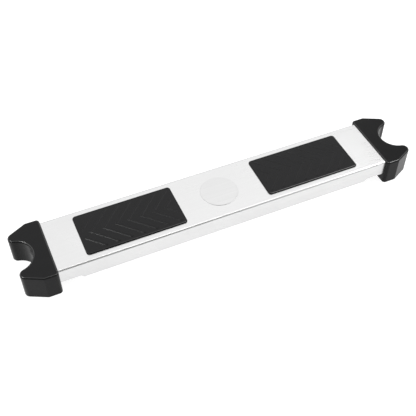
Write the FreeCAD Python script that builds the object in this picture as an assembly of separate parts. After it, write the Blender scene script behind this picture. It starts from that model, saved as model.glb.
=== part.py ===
import FreeCAD, Part
import math
import os

# Pool ladder step: a folded stainless tread between two moulded brackets that saddle the ladder's rails.
# Millimetres. X runs along the tread, -Y is the front, +Z is up.
# The origin is centred under the step, on the plane of the brackets' undersides.

Vector = FreeCAD.Vector
UP = Vector(0, 0, 1)
ALONG = Vector(1, 0, 0)

# The ladder that the step belongs to
rail_spacing = 500.0
rail_diameter = 42.4

# End bracket, outside
bracket_height = 34.6
bracket_width = 87.0
bracket_tip_x = 250.4
bracket_inner_x = 210.2
bracket_straight = 16.8
bracket_corner_radius = 4.0
bracket_shoulder_radius = 3.0
horn_radius = 7.1
bracket_top_round = 2.0
bracket_bottom_round = 1.0

# End bracket, inside
bracket_wall = 3.0
bracket_roof = 4.0
rib_thickness = 2.0
outer_rib_y = 30.5
bolt_boss_radius = 10.0
screw_boss_radius = 5.0
lug_inner_x = 190.0
lug_inside_y = 24.5
lug_above_cut = 0.5
lug_clearance = 0.2
lug_corner_radius = 3.0
lug_wall = 2.5

# Tread channel
bracket_proud = 1.4
tread_width = 77.5
tread_height = 25.0
sheet = 1.2
bend_radius = 2.5
lip_width = 12.0
lip_end_x = 181.5
cut_start_x = 187.0
cut_drop = 19.8
cut_corner_radius = 2.0

# Grip pads
pad_inner_x = 52.6
pad_length = 121.8
pad_width = 61.0
pad_thickness = 1.6
pad_corner_radius = 4.0
pad_edge_round = 1.4
chevron_count = 8
chevron_first = 12.0
chevron_rib_width = 3.0
chevron_crest_width = 1.4
chevron_rib_height = 0.33
chevron_border = 5.0
peg_radius = 2.5
peg_tip_radius = 1.8
peg_hole_radius = 2.7
peg_head_radius = 3.4
peg_head_height = 2.6
peg_overlap = 1.0
peg_spread_x = 38.5
peg_spread_y = 20.0

# Round badge at the middle of the tread, left blank
badge_radius = 23.0
badge_thickness = 0.4
badge_edge = 0.2

# End plate, weld nut and screws
plate_thickness = 3.0
plate_half_width = 23.0
plate_corner_radius = 3.0
bolt_height = 19.0
bolt_hole_radius = 4.5
nut_flats = 13.0
nut_height = 6.5
nut_thread_radius = 3.3235
nut_face_radius = 5.9
nut_chamfer_angle = 30.0
screw_y = 16.0
screw_hole_radius = 2.75
screw_radius = 2.1
screw_length = 18.0
screw_point = 2.5
screw_tip_radius = 0.5
screw_head_radius = 4.4
screw_head_height = 3.0
screw_head_round = 1.4
recess_width = 1.1
recess_length = 5.0
recess_depth = 1.8
washer_radius = 5.0
washer_thickness = 1.0

# Places worked out from those
saddle_x = rail_spacing / 2
saddle_radius = rail_diameter / 2
half_bracket = bracket_width / 2
half_tread = tread_width / 2
tread_top = bracket_height - bracket_proud
tread_bottom = tread_top - tread_height
cut_level = tread_top - cut_drop
web_underside = tread_top - sheet
pad_centre_x = pad_inner_x + pad_length / 2
plate_face_x = bracket_inner_x - plate_thickness

# How far a cutting shape runs past what it cuts, and the smallest length that counts
BEYOND = 5.0
TOLERANCE = 0.01


def box(x0, x1, y0, y1, z0, z1):
    return Part.makeBox(x1 - x0, y1 - y0, z1 - z0, Vector(x0, y0, z0))


def rod(radius, start, end):
    return Part.makeCylinder(radius, (end - start).Length, start, end - start)


def mirrored(shape):
    """The shape for the step's other end."""
    return shape.mirror(Vector(0, 0, 0), ALONG)


def front_to_back(shape):
    return shape.mirror(Vector(0, 0, 0), Vector(0, 1, 0))


def corner_arc(before, corner, after, radius):
    """The arc that rounds a corner, as its start, middle and end."""
    towards_before = (before - corner).normalize()
    towards_after = (after - corner).normalize()
    half_angle = towards_before.getAngle(towards_after) / 2
    reach = radius / math.tan(half_angle)
    bisector = (towards_before + towards_after).normalize()
    middle = corner + bisector * (radius / math.sin(half_angle) - radius)
    return corner + towards_before * reach, middle, corner + towards_after * reach


def rounded_face(corners):
    """A face bounded by straight runs, from (point, radius) pairs; a radius of 0 leaves the corner sharp."""
    points = [point for point, radius in corners]
    edges = []
    joins = []
    for index, (point, radius) in enumerate(corners):
        before = points[index - 1]
        after = points[(index + 1) % len(points)]
        if radius:
            start, middle, end = corner_arc(before, point, after, radius)
            joins.append((start, end, Part.Arc(start, middle, end).toShape()))
        else:
            joins.append((point, point, None))
    for index, (start, end, arc) in enumerate(joins):
        if arc:
            edges.append(arc)
        next_start = joins[(index + 1) % len(joins)][0]
        if (next_start - end).Length > TOLERANCE:
            edges.append(Part.makeLine(end, next_start))
    return Part.Face(Part.Wire(edges))


def rounded_rectangle(x0, x1, y0, y1, z, radius):
    corners = [(x0, y0), (x1, y0), (x1, y1), (x0, y1)]
    return rounded_face([(Vector(x, y, z), radius) for x, y in corners])


# ---- tread channel -----------------------------------------------------------------------------------

def channel_section(x, inset):
    """The channel's outline with its lips, drawn inwards by inset, as a closed shape with no opening."""
    side = half_tread - inset
    top = tread_top - inset
    bottom = tread_bottom + inset
    radius = bend_radius - inset
    corners = [(-side, bottom), (side, bottom), (side, top), (-side, top)]
    return rounded_face([(Vector(x, y, z), radius) for y, z in corners])


def lip_cutback():
    """What is cut from each flange and lip near the end, so that the bracket's lugs slide in."""
    below = tread_bottom - BEYOND
    past = bracket_inner_x + BEYOND
    front = -half_tread - BEYOND
    corners = [
        (Vector(lip_end_x - BEYOND, front, below), 0),
        (Vector(lip_end_x, front, tread_bottom), cut_corner_radius),
        (Vector(cut_start_x, front, cut_level), cut_corner_radius),
        (Vector(past, front, cut_level), 0),
        (Vector(past, front, below), 0),
    ]
    return rounded_face(corners).extrude(Vector(0, tread_width + 2 * BEYOND, 0))


def peg_places():
    for row in (-1, 0, 1):
        for side in (-1, 1):
            yield Vector(pad_centre_x + row * peg_spread_x, side * peg_spread_y, 0)


def tread_channel():
    length = Vector(2 * bracket_inner_x, 0, 0)
    outside = channel_section(-bracket_inner_x, 0).extrude(length)
    inside = channel_section(-bracket_inner_x, sheet).extrude(length)
    gap = half_tread - lip_width
    slot = box(
        -bracket_inner_x, bracket_inner_x, -gap, gap,
        tread_bottom - BEYOND, tread_bottom + bend_radius)
    channel = outside.cut(inside).cut(slot)
    cutback = lip_cutback()
    channel = channel.cut(cutback).cut(mirrored(cutback))
    for place in peg_places():
        hole = rod(peg_hole_radius, place + UP * (web_underside - BEYOND), place + UP * (tread_top + BEYOND))
        channel = channel.cut(hole).cut(mirrored(hole))
    return channel


# ---- grip pads and badge -----------------------------------------------------------------------------

def chevron_arm(apex_x, field):
    """The rear arm of a V rib with sloping sides, whose point faces outwards, kept to the field it stands in."""
    across = Vector(1, 1, 0).normalize()
    reach = Vector(-1, 1, 0) * pad_width / 2
    bend = Vector(apex_x - chevron_rib_width / math.sqrt(2), 0, field.BoundBox.ZMin)
    foot = chevron_rib_width / 2
    crest = chevron_crest_width / 2
    profile = [(-foot, 0), (foot, 0), (crest, chevron_rib_height), (-crest, chevron_rib_height)]
    corners = [(bend - reach + across * sideways + UP * height, 0) for sideways, height in profile]
    return rounded_face(corners).extrude(reach * 2).common(field)


def pad_peg(place):
    """A moulded peg through the tread, with a head that snaps out under it."""
    shank_start = place + UP * (web_underside - peg_overlap)
    shank = rod(peg_radius, shank_start, place + UP * (tread_top + peg_overlap))
    head_base = place + UP * (web_underside - peg_head_height)
    head = Part.makeCone(peg_tip_radius, peg_head_radius, peg_head_height, head_base, UP)
    return shank.fuse(head)


def right_grip_pad():
    x0 = pad_inner_x
    x1 = pad_inner_x + pad_length
    half = pad_width / 2
    plate = rounded_rectangle(x0, x1, -half, half, tread_top, pad_corner_radius).extrude(UP * pad_thickness)
    top = tread_top + pad_thickness
    rim = [edge for edge in plate.Edges if edge.BoundBox.ZMin > top - TOLERANCE]
    pad = plate.makeFillet(pad_edge_round, rim)
    rear_field = box(
        x0 + chevron_border, x1 - chevron_border, 0, half - chevron_border, top, top + chevron_rib_height)
    pitch = pad_length / chevron_count
    for index in range(-1, chevron_count):
        arm = chevron_arm(x1 - chevron_first - index * pitch, rear_field)
        pad = pad.fuse(arm).fuse(front_to_back(arm))
    for place in peg_places():
        pad = pad.fuse(pad_peg(place))
    return pad.removeSplitter()


def centre_badge():
    disc = rod(badge_radius, UP * tread_top, UP * (tread_top + badge_thickness))
    rim = [edge for edge in disc.Edges if edge.BoundBox.ZMin > tread_top + badge_thickness / 2]
    return disc.makeChamfer(badge_edge, rim)


# ---- end bracket -------------------------------------------------------------------------------------

def tangent_point(start, centre, radius):
    """Where the line from start touches the circle, on the circle's outer side."""
    to_start = start - centre
    angle = math.acos(radius / to_start.Length)
    direction = math.atan2(to_start.y, to_start.x) - angle
    return centre + Vector(math.cos(direction), math.sin(direction), 0) * radius


def in_front(point):
    """The matching point on the front half."""
    return Vector(point.x, -point.y, point.z)


def bracket_face():
    """The bracket from above: straight sides, a taper to each horn and the half-round saddle between them."""
    saddle = Vector(saddle_x, 0, 0)
    horn_x = bracket_tip_x - horn_radius
    horn_y = math.sqrt((saddle_radius + horn_radius) ** 2 - (saddle_x - horn_x) ** 2)
    horn = Vector(horn_x, horn_y, 0)
    inner = Vector(bracket_inner_x, half_bracket, 0)
    shoulder = Vector(bracket_inner_x + bracket_straight, half_bracket, 0)
    flank_end = tangent_point(shoulder, horn, horn_radius)
    saddle_end = saddle + (horn - saddle).normalize() * saddle_radius
    corner = corner_arc(in_front(inner), inner, shoulder, bracket_corner_radius)
    bend = corner_arc(inner, shoulder, flank_end, bracket_shoulder_radius)
    tip = (flank_end, horn + ALONG * horn_radius, saddle_end)
    upper = [Part.Arc(*corner).toShape(), Part.makeLine(corner[2], bend[0]), Part.Arc(*bend).toShape()]
    upper += [Part.makeLine(bend[2], flank_end), Part.Arc(*tip).toShape()]
    lower = [front_to_back(edge) for edge in upper]
    bowl = Part.Arc(saddle_end, saddle - ALONG * saddle_radius, in_front(saddle_end)).toShape()
    inner_side = Part.makeLine(corner[0], in_front(corner[0]))
    return Part.Face(Part.Wire(Part.__sortEdges__(upper + [bowl, inner_side] + lower)))


def screw_axes():
    for side in (-1, 1):
        yield Vector(0, side * screw_y, bolt_height)


def bracket_cores(face):
    """The hollows under the bracket, with the ribs and the bolt and screw bosses left standing."""
    core = face.makeOffset2D(-bracket_wall).extrude(UP * (bracket_height - bracket_roof))
    far = bracket_tip_x
    near = bracket_inner_x
    core = core.cut(rod(bolt_boss_radius, Vector(near, 0, bolt_height), Vector(far, 0, bolt_height)))
    for axis in screw_axes():
        core = core.cut(rod(screw_boss_radius, axis + ALONG * near, axis + ALONG * far))
    half_rib = rib_thickness / 2
    for y in (-outer_rib_y, -screw_y, 0, screw_y, outer_rib_y):
        core = core.cut(box(near, far, y - half_rib, y + half_rib, 0, bracket_height))
    return core


def bracket_lug():
    """The rear lug, which slides inside the channel, under the tread and against the flange."""
    outer = half_tread - sheet - lug_clearance
    top = web_underside - lug_clearance
    bottom = cut_level + lug_above_cut
    corners = [
        ((lug_inside_y, bottom), 0), ((outer, bottom), 0),
        ((outer, top), lug_corner_radius), ((lug_inside_y, top), 0),
    ]
    face = rounded_face([(Vector(lug_inner_x, y, z), radius) for (y, z), radius in corners])
    lug = face.extrude(ALONG * (bracket_inner_x + bracket_wall - lug_inner_x))
    hollow = box(
        lug_inner_x + lug_wall, bracket_inner_x, lug_inside_y + lug_wall, outer - lug_wall,
        bottom - BEYOND, top - lug_wall)
    return lug.cut(hollow)


def right_end_bracket():
    face = bracket_face()
    block = face.extrude(UP * bracket_height)
    top_edges = [edge for edge in block.Edges if edge.BoundBox.ZMin > bracket_height - TOLERANCE]
    block = block.makeFillet(bracket_top_round, top_edges)
    bottom_edges = [edge for edge in block.Edges if edge.BoundBox.ZMax < TOLERANCE]
    block = block.makeFillet(bracket_bottom_round, bottom_edges)
    bracket = block.cut(bracket_cores(face))
    lug = bracket_lug()
    bracket = bracket.fuse(lug).fuse(front_to_back(lug))
    axis = UP * bolt_height
    bracket = bracket.cut(rod(bolt_hole_radius, axis + ALONG * plate_face_x, axis + ALONG * saddle_x))
    pilot_end = plate_face_x + screw_length
    for axis in screw_axes():
        bracket = bracket.cut(rod(screw_radius, axis + ALONG * plate_face_x, axis + ALONG * pilot_end))
    return bracket.removeSplitter()


# ---- end plate, weld nut, screws ---------------------------------------------------------------------

def right_end_plate():
    """The plate welded under the tread at its end, which the bracket is screwed and bolted to."""
    corners = [
        ((-plate_half_width, web_underside), 0), ((-plate_half_width, tread_bottom), plate_corner_radius),
        ((plate_half_width, tread_bottom), plate_corner_radius), ((plate_half_width, web_underside), 0),
    ]
    face = rounded_face([(Vector(plate_face_x, y, z), radius) for (y, z), radius in corners])
    plate = face.extrude(ALONG * plate_thickness)
    axis = UP * bolt_height
    plate = plate.cut(rod(bolt_hole_radius, axis + ALONG * plate_face_x, axis + ALONG * bracket_inner_x))
    for axis in screw_axes():
        plate = plate.cut(rod(screw_hole_radius, axis + ALONG * plate_face_x, axis + ALONG * bracket_inner_x))
    return plate


def right_weld_nut():
    """An M8 hexagon nut with chamfered corners, drawn with a plain hole of the thread's minor diameter."""
    start_x = plate_face_x - nut_height
    corner_reach = nut_flats / math.sqrt(3)
    corners = []
    for index in range(6):
        angle = math.radians(60 * index)
        y = corner_reach * math.cos(angle)
        z = corner_reach * math.sin(angle)
        corners.append((Vector(start_x, y, bolt_height + z), 0))
    hexagon = rounded_face(corners).extrude(ALONG * nut_height)
    start = UP * bolt_height + ALONG * start_x
    spread = nut_height / math.tan(math.radians(nut_chamfer_angle))
    cone = Part.makeCone(nut_face_radius, nut_face_radius + spread, nut_height, start, ALONG)
    return hexagon.common(cone).cut(rod(nut_thread_radius, start, start + ALONG * nut_height))


def bracket_screw(axis):
    """A pan-head thread-forming screw with a cross recess, its thread drawn as a plain shank."""
    seat_x = plate_face_x - washer_thickness
    head = rod(screw_head_radius, axis + ALONG * (seat_x - screw_head_height), axis + ALONG * seat_x)
    rim = [edge for edge in head.Edges if edge.BoundBox.XMax < seat_x - screw_head_height / 2]
    head = head.makeFillet(screw_head_round, rim)
    shank_end = axis + ALONG * (plate_face_x + screw_length - screw_point)
    shank = rod(screw_radius, axis + ALONG * seat_x, shank_end)
    point = Part.makeCone(screw_radius, screw_tip_radius, screw_point, shank_end, ALONG)
    screw = head.fuse(shank).fuse(point)
    head_x = seat_x - screw_head_height
    for half_y, half_z in ((recess_length / 2, recess_width / 2), (recess_width / 2, recess_length / 2)):
        slot = box(
            head_x, head_x + recess_depth, axis.y - half_y, axis.y + half_y,
            axis.z - half_z, axis.z + half_z)
        screw = screw.cut(slot)
    return screw.removeSplitter()


def right_bracket_screws():
    return Part.makeCompound([bracket_screw(axis) for axis in screw_axes()])


def screw_washer(axis):
    start = axis + ALONG * (plate_face_x - washer_thickness)
    end = axis + ALONG * plate_face_x
    return rod(washer_radius, start, end).cut(rod(screw_hole_radius, start, end))


def right_screw_washers():
    return Part.makeCompound([screw_washer(axis) for axis in screw_axes()])


# ---- write each node ---------------------------------------------------------------------------------

def main():
    os.makedirs("parts", exist_ok=True)
    shapes = {"tread_channel": tread_channel(), "centre_badge": centre_badge()}
    paired = {
        "grip_pad": right_grip_pad(),
        "end_bracket": right_end_bracket(),
        "end_plate": right_end_plate(),
        "weld_nut": right_weld_nut(),
        "bracket_screws": right_bracket_screws(),
        "screw_washers": right_screw_washers(),
    }
    for name, shape in paired.items():
        shapes["right_" + name] = shape
        shapes["left_" + name] = mirrored(shape)
    for name, shape in shapes.items():
        state = "valid" if shape.isValid() else "NOT VALID"
        print(name, state, len(shape.Solids), "solids", round(shape.Volume / 1000, 2), "cm3")
        shape.exportStep("parts/" + name + ".step")


main()
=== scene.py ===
import math

import bmesh
import bpy
from mathutils import Matrix, Quaternion, Vector, noise as smooth_noise


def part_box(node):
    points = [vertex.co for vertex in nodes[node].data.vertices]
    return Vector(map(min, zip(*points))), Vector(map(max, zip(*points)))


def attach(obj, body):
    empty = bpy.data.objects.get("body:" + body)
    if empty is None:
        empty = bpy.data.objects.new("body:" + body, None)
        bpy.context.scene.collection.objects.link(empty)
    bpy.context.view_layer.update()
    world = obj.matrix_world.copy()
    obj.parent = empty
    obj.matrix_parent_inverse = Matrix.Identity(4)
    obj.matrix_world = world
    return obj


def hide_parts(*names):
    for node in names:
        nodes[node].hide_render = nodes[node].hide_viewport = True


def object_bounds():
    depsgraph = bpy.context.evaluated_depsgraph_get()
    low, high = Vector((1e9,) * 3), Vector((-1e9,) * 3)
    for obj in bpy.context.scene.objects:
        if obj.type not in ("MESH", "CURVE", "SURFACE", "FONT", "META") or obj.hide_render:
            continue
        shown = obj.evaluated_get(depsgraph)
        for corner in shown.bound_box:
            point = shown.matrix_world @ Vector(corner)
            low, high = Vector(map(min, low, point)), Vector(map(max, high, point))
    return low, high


# Pool ladder step: a folded stainless tread with two rubber grip pads, between two moulded end brackets.
# Metres, in the CAD frame: X runs along the tread, -Y is the front, +Z is up.

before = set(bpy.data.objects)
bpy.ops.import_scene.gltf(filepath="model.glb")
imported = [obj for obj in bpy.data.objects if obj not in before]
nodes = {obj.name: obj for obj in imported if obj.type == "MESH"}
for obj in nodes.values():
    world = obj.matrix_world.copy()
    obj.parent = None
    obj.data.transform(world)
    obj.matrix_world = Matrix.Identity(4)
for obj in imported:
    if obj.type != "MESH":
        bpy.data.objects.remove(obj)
cad_low, cad_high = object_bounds()

MM = 0.001
centre = (cad_low + cad_high) / 2
length = cad_high.x - cad_low.x
tread_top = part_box("tread_channel")[1].z

# Camera: where it stands round the step, how far off, and the point above the tread that it looks at
camera_azimuth = math.radians(-23.84)
camera_elevation = math.radians(48.36)
camera_roll = 0.001
camera_distance = 862.1 * MM
camera_aim = Vector((-24.4, -22.5, 3.9)) * MM + Vector((0, 0, tread_top))
camera_lens = 63.82
camera_sensor = 36.0

# Painted highlight on the pads' front edge: how much paler it is than the rubbed tops of the ribs, and how it
# grows along the step from its least share
edge_highlight_strength = 40
least_edge_highlight = 0.05
edge_highlight_start = -160 * MM
edge_highlight_full = 120 * MM

# The weld nuts' thread, M8 x 1.25, and the chamfer on the side away from the plate
thread_pitch = 1.25 * MM
thread_minor_radius = 3.3235 * MM
thread_major_radius = 4.0 * MM
thread_countersink = 0.3 * MM
nut_face_radius = 5.9 * MM
nut_chamfer_angle = math.radians(30)
nut_sides = 6
thread_crest_share = 1 / 4
thread_flank_share = 5 / 16
nut_ring_points = 72
nut_chamfer_rings = 6
nut_thread_rings = 52

# The weld beads that hold the end plates under the tread, and the nuts on the plates
plate_bead_radius = 1.3 * MM
plate_bead_offset = 0.5 * MM
plate_bead_share = 0.85
nut_bead_radius = 1.1 * MM
nut_bead_length = 5.6 * MM
bead_ripple = 1.5 * MM
bead_ripple_depth = 0.12
bead_unevenness = 0.12
bead_tip_share = 0.2
bead_tip_power = 6
bead_ring_points = 20
bead_rings_per_ripple = 8


# ---- node helpers --------------------------------------------------------------------------------

def new_material(name, **sockets):
    """A material with one Principled shader, whose even values are set straight on its sockets."""
    material = bpy.data.materials.new(name)
    material.use_nodes = True
    shader = material.node_tree.nodes["Principled BSDF"]
    for socket, value in sockets.items():
        shader.inputs[socket.replace("_", " ")].default_value = value
    return material, shader


def add_node(material, kind, **settings):
    """A shader node of this kind, with its settings. The world's shader is built the same way."""
    node = material.node_tree.nodes.new(kind)
    for name, value in settings.items():
        setattr(node, name, value)
    return node


def link(material, source, target):
    material.node_tree.links.new(source, target)


def object_position(material, scale=(1, 1, 1)):
    """The place on the object in metres, stretched by scale."""
    where = add_node(material, "ShaderNodeTexCoord")
    stretch = add_node(material, "ShaderNodeMapping")
    stretch.inputs["Scale"].default_value = scale
    link(material, where.outputs["Object"], stretch.inputs["Vector"])
    return stretch.outputs["Vector"]


def noise(material, position, scale=1, detail=2, roughness=0.5):
    """Seamless noise, whose values lie mostly between 0.3 and 0.7."""
    texture = add_node(material, "ShaderNodeTexNoise")
    texture.inputs["Scale"].default_value = scale
    texture.inputs["Detail"].default_value = detail
    texture.inputs["Roughness"].default_value = roughness
    link(material, position, texture.inputs["Vector"])
    return texture.outputs["Fac"]


def spread(material, value, low, high, from_low=0.3, from_high=0.7):
    """Value, which runs from from_low to from_high, spread evenly between low and high and held there."""
    ranged = add_node(material, "ShaderNodeMapRange")
    ranged.inputs["From Min"].default_value = from_low
    ranged.inputs["From Max"].default_value = from_high
    ranged.inputs["To Min"].default_value = low
    ranged.inputs["To Max"].default_value = high
    link(material, value, ranged.inputs["Value"])
    return ranged.outputs["Result"]


def combine(material, operation, first, second):
    """One operation on two values, either of which may be a plain number."""
    node = add_node(material, "ShaderNodeMath", operation=operation)
    for value, socket in ((first, node.inputs[0]), (second, node.inputs[1])):
        if isinstance(value, (int, float)):
            socket.default_value = value
        else:
            link(material, value, socket)
    return node.outputs["Value"]


def blend(material, first, second, share):
    """The two values mixed, with this share of the second."""
    return combine(
        material, "ADD", combine(material, "MULTIPLY", first, 1 - share),
        combine(material, "MULTIPLY", second, share))


def blend_colours(material, amount, first, second):
    """The first colour at an amount of 0, the second at 1, and beyond it above that."""
    mix = add_node(material, "ShaderNodeMix", data_type="RGBA", clamp_factor=False)
    mix.inputs["A"].default_value = (*first, 1)
    mix.inputs["B"].default_value = (*second, 1)
    link(material, amount, mix.inputs["Factor"])
    return mix.outputs["Result"]


def bump(material, height, distance):
    """A normal that is tilted as if height, times distance, stood out of the surface."""
    node = add_node(material, "ShaderNodeBump")
    node.inputs["Distance"].default_value = distance
    link(material, height, node.inputs["Height"])
    return node.outputs["Normal"]


def edge_mask(material, radius):
    """1 on a convex or concave edge narrower than radius, and 0 on a flat face."""
    rounded = add_node(material, "ShaderNodeBevel", samples=4)
    rounded.inputs["Radius"].default_value = radius
    true_normal = add_node(material, "ShaderNodeNewGeometry")
    likeness = add_node(material, "ShaderNodeVectorMath", operation="DOT_PRODUCT")
    link(material, rounded.outputs["Normal"], likeness.inputs[0])
    link(material, true_normal.outputs["Normal"], likeness.inputs[1])
    return spread(material, likeness.outputs["Value"], 1, 0, from_low=0.75, from_high=0.99)


def three_parts(material, vector):
    """The X, Y and Z of a vector."""
    split = add_node(material, "ShaderNodeSeparateXYZ")
    link(material, vector, split.inputs["Vector"])
    return split.outputs["X"], split.outputs["Y"], split.outputs["Z"]


def facing(material):
    """The X, Y and Z of the way the surface faces."""
    return three_parts(material, add_node(material, "ShaderNodeNewGeometry").outputs["Normal"])


def rubbed_shoulder(material):
    """1 on the upper part of a moulded edge's rounding, which hands and feet rub shiny, and 0 elsewhere."""
    upwards = facing(material)[2]
    off_the_side = spread(material, upwards, 0, 1, from_low=0.68, from_high=0.78)
    off_the_top = spread(material, upwards, 1, 0, from_low=0.97, from_high=0.995)
    return combine(material, "MULTIPLY", off_the_side, off_the_top)


def painted_front_highlight(material):
    """Painted highlight: 1 along the rounding of a straight front edge, fading to the left; 0 elsewhere."""
    sideways, backwards, upwards = facing(material)
    along = three_parts(material, object_position(material))[0]
    highlight_mask = spread(material, backwards, 1, 0, from_low=-0.09, from_high=-0.02)
    faces_up = spread(material, upwards, 0, 1, from_low=0.9, from_high=0.95)
    turned = combine(material, "MULTIPLY", sideways, sideways)
    straight = spread(material, turned, 1, 0, from_low=0.01, from_high=0.04)
    # The painted highlight grows brighter towards the right, where the light falls on it.
    lit_along = spread(material, along, least_edge_highlight, 1, from_low=edge_highlight_start, from_high=edge_highlight_full)
    for share in (faces_up, straight, lit_along):
        highlight_mask = combine(material, "MULTIPLY", highlight_mask, share)
    return highlight_mask


# ---- materials -----------------------------------------------------------------------------------

def brushed_steel(name, light, dark, roughness, anisotropic, grain_depth):
    """Stainless steel brushed along X: long fine scratches, and a broad unevenness where the belt pressed."""
    material, shader = new_material(name, Metallic=1.0, Anisotropic=anisotropic)
    scratches = noise(material, object_position(material, scale=(14, 3600, 3600)), detail=3, roughness=0.6)
    streaks = noise(material, object_position(material, scale=(5, 420, 420)))
    patches = noise(material, object_position(material), scale=26)
    grain = blend(material, scratches, streaks, share=0.4)
    colour = blend_colours(material, spread(material, grain, low=0, high=1), dark, light)
    link(material, colour, shader.inputs["Base Color"])
    fine = spread(material, scratches, low=roughness - 0.05, high=roughness + 0.05)
    broad = spread(material, patches, low=-0.03, high=0.03)
    link(material, combine(material, "ADD", fine, broad), shader.inputs["Roughness"])
    link(material, bump(material, grain, grain_depth), shader.inputs["Normal"])
    across = add_node(material, "ShaderNodeTangent", direction_type="RADIAL", axis="X")
    link(material, across.outputs["Tangent"], shader.inputs["Tangent"])
    return material


def pad_rubber():
    """Matt moulded rubber: a fine even grain, the tops of the ribs rubbed paler, and a painted highlight
    along the front edge.
    """
    material, shader = new_material("moulded_rubber", Specular_IOR_Level=0.2)
    position = object_position(material)
    grain = noise(material, position, scale=1900, roughness=0.6)
    cloud = noise(material, position, scale=60, detail=3)
    wear = edge_mask(material, radius=0.4 * MM)
    # The paler band along the front edge is a painted highlight, not wear.
    painted_highlight = combine(material, "MULTIPLY", painted_front_highlight(material), edge_highlight_strength)
    tone = combine(material, "ADD", blend(material, cloud, wear, share=0.5), painted_highlight)
    colour = blend_colours(material, tone, (0.005, 0.005, 0.0055), (0.01, 0.01, 0.0105))
    link(material, colour, shader.inputs["Base Color"])
    link(material, spread(material, grain, low=0.26, high=0.36), shader.inputs["Roughness"])
    link(material, bump(material, grain, distance=0.05 * MM), shader.inputs["Normal"])
    return material


def bracket_plastic():
    """Black moulded nylon: a spark-eroded surface, faint flow marks, and edges rubbed a little shinier."""
    material, shader = new_material("moulded_nylon", Specular_IOR_Level=0.1, Coat_Roughness=0.14)
    position = object_position(material)
    grain = noise(material, position, scale=1500, detail=3, roughness=0.65)
    flow = noise(material, object_position(material, scale=(30, 90, 60)), detail=3)
    wear = edge_mask(material, radius=0.7 * MM)
    tone = blend(material, flow, wear, share=0.6)
    colour = blend_colours(material, tone, (0.0105, 0.0105, 0.0108), (0.0175, 0.0175, 0.018))
    link(material, colour, shader.inputs["Base Color"])
    unworn = spread(material, grain, low=0.17, high=0.25)
    smoothing = combine(material, "MULTIPLY", wear, 0.06)
    link(material, combine(material, "SUBTRACT", unworn, smoothing), shader.inputs["Roughness"])
    link(material, rubbed_shoulder(material), shader.inputs["Coat Weight"])
    link(material, bump(material, grain, distance=0.02 * MM), shader.inputs["Normal"])
    return material


def plain_steel(name, dark, light):
    """Stainless steel of the hidden fixings and welds: mottled and pitted, and brighter along its edges."""
    material, shader = new_material(name, Metallic=1.0)
    position = object_position(material)
    mottle = noise(material, position, scale=240, detail=4, roughness=0.6)
    pits = noise(material, position, scale=2600)
    wear = edge_mask(material, radius=0.3 * MM)
    tone = blend(material, mottle, wear, share=0.5)
    link(material, blend_colours(material, tone, dark, light), shader.inputs["Base Color"])
    link(material, spread(material, mottle, low=0.3, high=0.48), shader.inputs["Roughness"])
    link(material, bump(material, pits, distance=0.015 * MM), shader.inputs["Normal"])
    return material


def dress(material, *names):
    """Gives these CAD nodes the material."""
    for name in names:
        slots = nodes[name].data.materials
        slots.clear()
        slots.append(material)


tread_steel = brushed_steel(
    "brushed_tread", light=(0.712, 0.712, 0.712), dark=(0.677, 0.677, 0.677),
    roughness=0.32, anisotropic=0.7, grain_depth=0.004 * MM)
badge_steel = brushed_steel(
    "satin_badge", light=(0.712, 0.712, 0.712), dark=(0.632, 0.632, 0.632),
    roughness=0.5, anisotropic=0.3, grain_depth=0.005 * MM)
rolled_steel = plain_steel("rolled_steel", dark=(0.46, 0.455, 0.44), light=(0.7, 0.695, 0.68))
welded_steel = plain_steel("welded_steel", dark=(0.36, 0.31, 0.24), light=(0.62, 0.58, 0.52))

dress(tread_steel, "tread_channel")
dress(badge_steel, "centre_badge")
dress(pad_rubber(), "left_grip_pad", "right_grip_pad")
dress(bracket_plastic(), "left_end_bracket", "right_end_bracket")
for end in ("left", "right"):
    dress(rolled_steel, end + "_end_plate", end + "_weld_nut")
    dress(rolled_steel, end + "_bracket_screws", end + "_screw_washers")


# ---- threaded nuts and weld beads ----------------------------------------------------------------

def skin(name, rings, material, looped, smooth):
    """A steel piece whose surface runs from ring to ring, and back to the first or else to two end caps."""
    shape = bmesh.new()
    loops = [[shape.verts.new(point) for point in ring] for ring in rings]
    pairs = list(zip(loops, loops[1:]))
    if looped:
        pairs.append((loops[-1], loops[0]))
    else:
        shape.faces.new(loops[0])
        shape.faces.new(loops[-1])
    for first, second in pairs:
        for index in range(len(first)):
            shape.faces.new((first[index - 1], first[index], second[index], second[index - 1]))
    bmesh.ops.recalc_face_normals(shape, faces=shape.faces)
    for face in shape.faces:
        face.smooth = smooth
    mesh = bpy.data.meshes.new(name)
    shape.to_mesh(mesh)
    shape.free()
    mesh.materials.append(material)
    piece = bpy.data.objects.new(name, mesh)
    bpy.context.scene.collection.objects.link(piece)
    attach(piece, "root")
    return piece


def hexagon_radius(angle, half_flats):
    """How far the hexagon's side is from the axis at this angle from a corner."""
    slice_angle = 2 * math.pi / nut_sides
    return half_flats / math.cos(angle % slice_angle - slice_angle / 2)


def thread_radius(angle, along):
    """The radius of a right-hand internal thread: a quarter of its pitch is crest and an eighth is root."""
    turn = (along / thread_pitch - angle / (2 * math.pi)) % 1
    share = min(1, max(0, min(turn - thread_crest_share, 1 - turn) / thread_flank_share))
    return thread_minor_radius + (thread_major_radius - thread_minor_radius) * share


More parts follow.
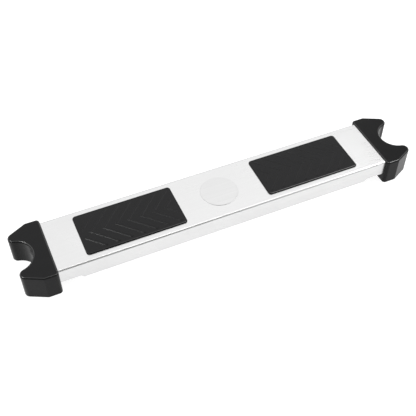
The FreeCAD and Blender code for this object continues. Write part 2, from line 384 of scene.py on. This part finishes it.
def threaded_nut(end):
    """The weld nut with its real thread, countersunk at both ends, on the hexagon of the CAD nut."""
    low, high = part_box(end + "_weld_nut")
    depth = high.x - low.x
    middle = (low + high) / 2
    half_flats = (high.z - low.z) / 2
    corner_radius = hexagon_radius(0, half_flats)
    chamfer = (corner_radius - nut_face_radius) * math.tan(nut_chamfer_angle)
    angles = [2 * math.pi * index / nut_ring_points for index in range(nut_ring_points)]

    def ring(along, radius):
        axis_point = Vector((low.x + along, middle.y, middle.z))
        return [
            axis_point + Vector((0, math.cos(angle), math.sin(angle))) * radius(angle) for angle in angles]

    def outside(along):
        from_face = along if end == "right" else depth - along
        cone = nut_face_radius + from_face / math.tan(nut_chamfer_angle)
        return ring(along, lambda angle: min(cone, hexagon_radius(angle, half_flats)))

    def inside(along):
        countersink = thread_major_radius + thread_countersink - min(along, depth - along)
        return ring(along, lambda angle: max(countersink, thread_radius(angle, along)))

    chamfer_steps = [chamfer * step / nut_chamfer_rings for step in range(nut_chamfer_rings + 1)]
    if end == "right":
        outer_steps = chamfer_steps + [depth]
    else:
        outer_steps = [0] + [depth - step for step in reversed(chamfer_steps)]
    inner_steps = [depth * step / nut_thread_rings for step in range(nut_thread_rings, -1, -1)]
    rings = [outside(along) for along in outer_steps] + [inside(along) for along in inner_steps]
    nut = skin(end + "_threaded_nut", rings, rolled_steel, looped=True, smooth=False)
    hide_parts(end + "_weld_nut")


def weld_bead(name, start, finish, radius):
    """A bead of weld laid in a corner, rippled along its length and rounded off at its ends."""
    run = finish - start
    along = run.normalized()
    sideways = along.orthogonal().normalized()
    upwards = along.cross(sideways)
    steps = round(run.length / bead_ripple * bead_rings_per_ripple)
    rings = []
    for step in range(steps + 1):
        share = step / steps
        hump = abs(math.sin(math.pi * share * run.length / bead_ripple))
        fullness = math.sqrt(1 - abs(2 * share - 1) ** bead_tip_power)
        rounding = bead_tip_share + (1 - bead_tip_share) * fullness
        centre_point = start + run * share
        reach = radius * rounding * (1 - bead_ripple_depth * (1 - hump))
        ring = []
        for index in range(bead_ring_points):
            angle = 2 * math.pi * index / bead_ring_points
            outwards = sideways * math.cos(angle) + upwards * math.sin(angle)
            lump = smooth_noise.noise((centre_point + outwards * radius) / radius)
            uneven = 1 + bead_unevenness * lump
            ring.append(centre_point + outwards * reach * uneven)
        rings.append(ring)
    skin(name, rings, welded_steel, looped=False, smooth=True)


def weld_beads(end):
    """One long bead under the tread along the end plate, and one on every other flat of the nut."""
    plate_low, plate_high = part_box(end + "_end_plate")
    nut_low, nut_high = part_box(end + "_weld_nut")
    inwards = -1 if end == "right" else 1
    face_x = plate_low.x if end == "right" else plate_high.x
    half_run = (plate_high.y - plate_low.y) / 2 * plate_bead_share
    corner = Vector((face_x + inwards * plate_bead_offset, 0, plate_high.z - plate_bead_offset))
    reach = Vector((0, half_run, 0))
    weld_bead(end + "_plate_bead", corner - reach, corner + reach, plate_bead_radius)
    axis = Vector((face_x, 0, (nut_low.z + nut_high.z) / 2))
    half_flats = (nut_high.z - nut_low.z) / 2
    for index in range(0, nut_sides, 2):
        angle = 2 * math.pi * (index + 0.5) / nut_sides
        outwards = Vector((0, math.cos(angle), math.sin(angle)))
        half_bead = Vector((0, -math.sin(angle), math.cos(angle))) * nut_bead_length / 2
        foot = axis + outwards * half_flats
        name = end + "_nut_bead_" + str(index // 2 + 1)
        weld_bead(name, foot - half_bead, foot + half_bead, nut_bead_radius)


for end in ("left", "right"):
    threaded_nut(end)
    weld_beads(end)


# ---- stage ---------------------------------------------------------------------------------------

floor_reach = 120 * length
floor_tone = (0.35, 0.35, 0.35)
floor_glow = 0.92
tent_light = 1.24

# What darkens the tent: an opening in front, a black card, and a grey band above the white skirt at its foot.
# Each has a share of the tent's light, and fades between two cosines of the angle from the way it lies.
up = (0, 0, 1)
opening_towards = (-0.3, -0.8, 0.5)
opening_share = 0.12
opening_fade = (0.55, 0.8)
card_towards = (0.535, 0.505, 0.677)
card_share = 0.0
card_fade = (0.992, 0.9985)
band_share = 0.12
band_fade = (0.15, 0.42)
skirt_fade = (0.03, 0.06)


def pale_floor():
    """White paper on a light table, so it is lit from below as well as from above."""
    mesh = bpy.data.meshes.new("floor")
    sides = ((-1, -1), (1, -1), (1, 1), (-1, 1))
    corners = [(x * floor_reach, y * floor_reach, cad_low.z) for x, y in sides]
    mesh.from_pydata(corners, [], [(0, 1, 2, 3)])
    floor = bpy.data.objects.new("floor", mesh)
    bpy.context.scene.collection.objects.link(floor)
    material, shader = new_material("floor_paper", Roughness=0.9, Specular_IOR_Level=0.1)
    shader.inputs["Base Color"].default_value = (*floor_tone, 1)
    shader.inputs["Emission Color"].default_value = (1, 1, 1, 1)
    shader.inputs["Emission Strength"].default_value = floor_glow
    mesh.materials.append(material)


def softbox(name, towards, distance, width, depth, radiance):
    """An even light that faces the step: width runs along the tread, depth across it."""
    data = bpy.data.lights.new(name, "AREA")
    data.shape = "RECTANGLE"
    data.size = width
    data.size_y = depth
    data.energy = radiance * math.pi * width * depth
    light = bpy.data.objects.new(name, data)
    direction = Vector(towards).normalized()
    light.location = centre + direction * distance
    light.rotation_mode = "QUATERNION"
    across = Vector((0, 1, 0)).cross(direction).normalized()
    turned = Matrix((across, direction.cross(across), direction)).transposed()
    light.rotation_quaternion = turned.to_quaternion()
    bpy.context.scene.collection.objects.link(light)


def light_tent():
    """A white tent over the step, with its opening, card, band and skirt."""
    world = bpy.data.worlds.new("light_tent")
    world.use_nodes = True
    background = world.node_tree.nodes["Background"]
    background.inputs["Color"].default_value = (1, 1, 1, 1)
    direction = add_node(world, "ShaderNodeTexCoord")
    strength = tent_light
    for towards, away_share, near_share, fade in (
            (opening_towards, 1, opening_share, opening_fade),
            (card_towards, 1, card_share, card_fade),
            (up, band_share, 1, band_fade),
            (up, 1 / band_share, 1, skirt_fade)):
        likeness = add_node(world, "ShaderNodeVectorMath", operation="DOT_PRODUCT")
        likeness.inputs[1].default_value = Vector(towards).normalized()
        link(world, direction.outputs["Generated"], likeness.inputs[0])
        share = spread(world, likeness.outputs["Value"], away_share, near_share, *fade)
        strength = combine(world, "MULTIPLY", share, strength)
    link(world, strength, background.inputs["Strength"])
    bpy.context.scene.world = world


def photo_camera():
    """The camera at the photograph's viewing angle."""
    data = bpy.data.cameras.new("camera")
    data.sensor_width = camera_sensor
    data.lens = camera_lens
    camera = bpy.data.objects.new("camera", data)
    across = math.cos(camera_elevation)
    sideways = math.sin(camera_azimuth) * across
    forwards = -math.cos(camera_azimuth) * across
    back = Vector((sideways, forwards, math.sin(camera_elevation)))
    camera.location = camera_aim + back * camera_distance
    camera.rotation_mode = "QUATERNION"
    camera.rotation_quaternion = (-back).to_track_quat("-Z", "Y") @ Quaternion((0, 0, 1), camera_roll)
    bpy.context.scene.collection.objects.link(camera)
    bpy.context.scene.camera = camera


pale_floor()
light_tent()
# The left and right lights draw the highlights on the brackets' edges, the end light brightens the steel's
# right end, and the top light draws the white line along the tread's front bend.
softbox("left_striplight", towards=(-0.53, 0.17, 0.83), distance=1.4, width=0.16, depth=0.2, radiance=36)
softbox("right_striplight", towards=(0.61, -0.2, 0.77), distance=1.45, width=0.15, depth=0.28, radiance=17)
softbox("right_end_light", towards=(0.57, 0.23, 0.79), distance=1.5, width=0.14, depth=0.35, radiance=4)
softbox("top_striplight", towards=(0.2, -0.1, 0.96), distance=1.4, width=0.8, depth=0.1, radiance=9)
photo_camera()
bpy.context.scene.view_settings.view_transform = "Standard"
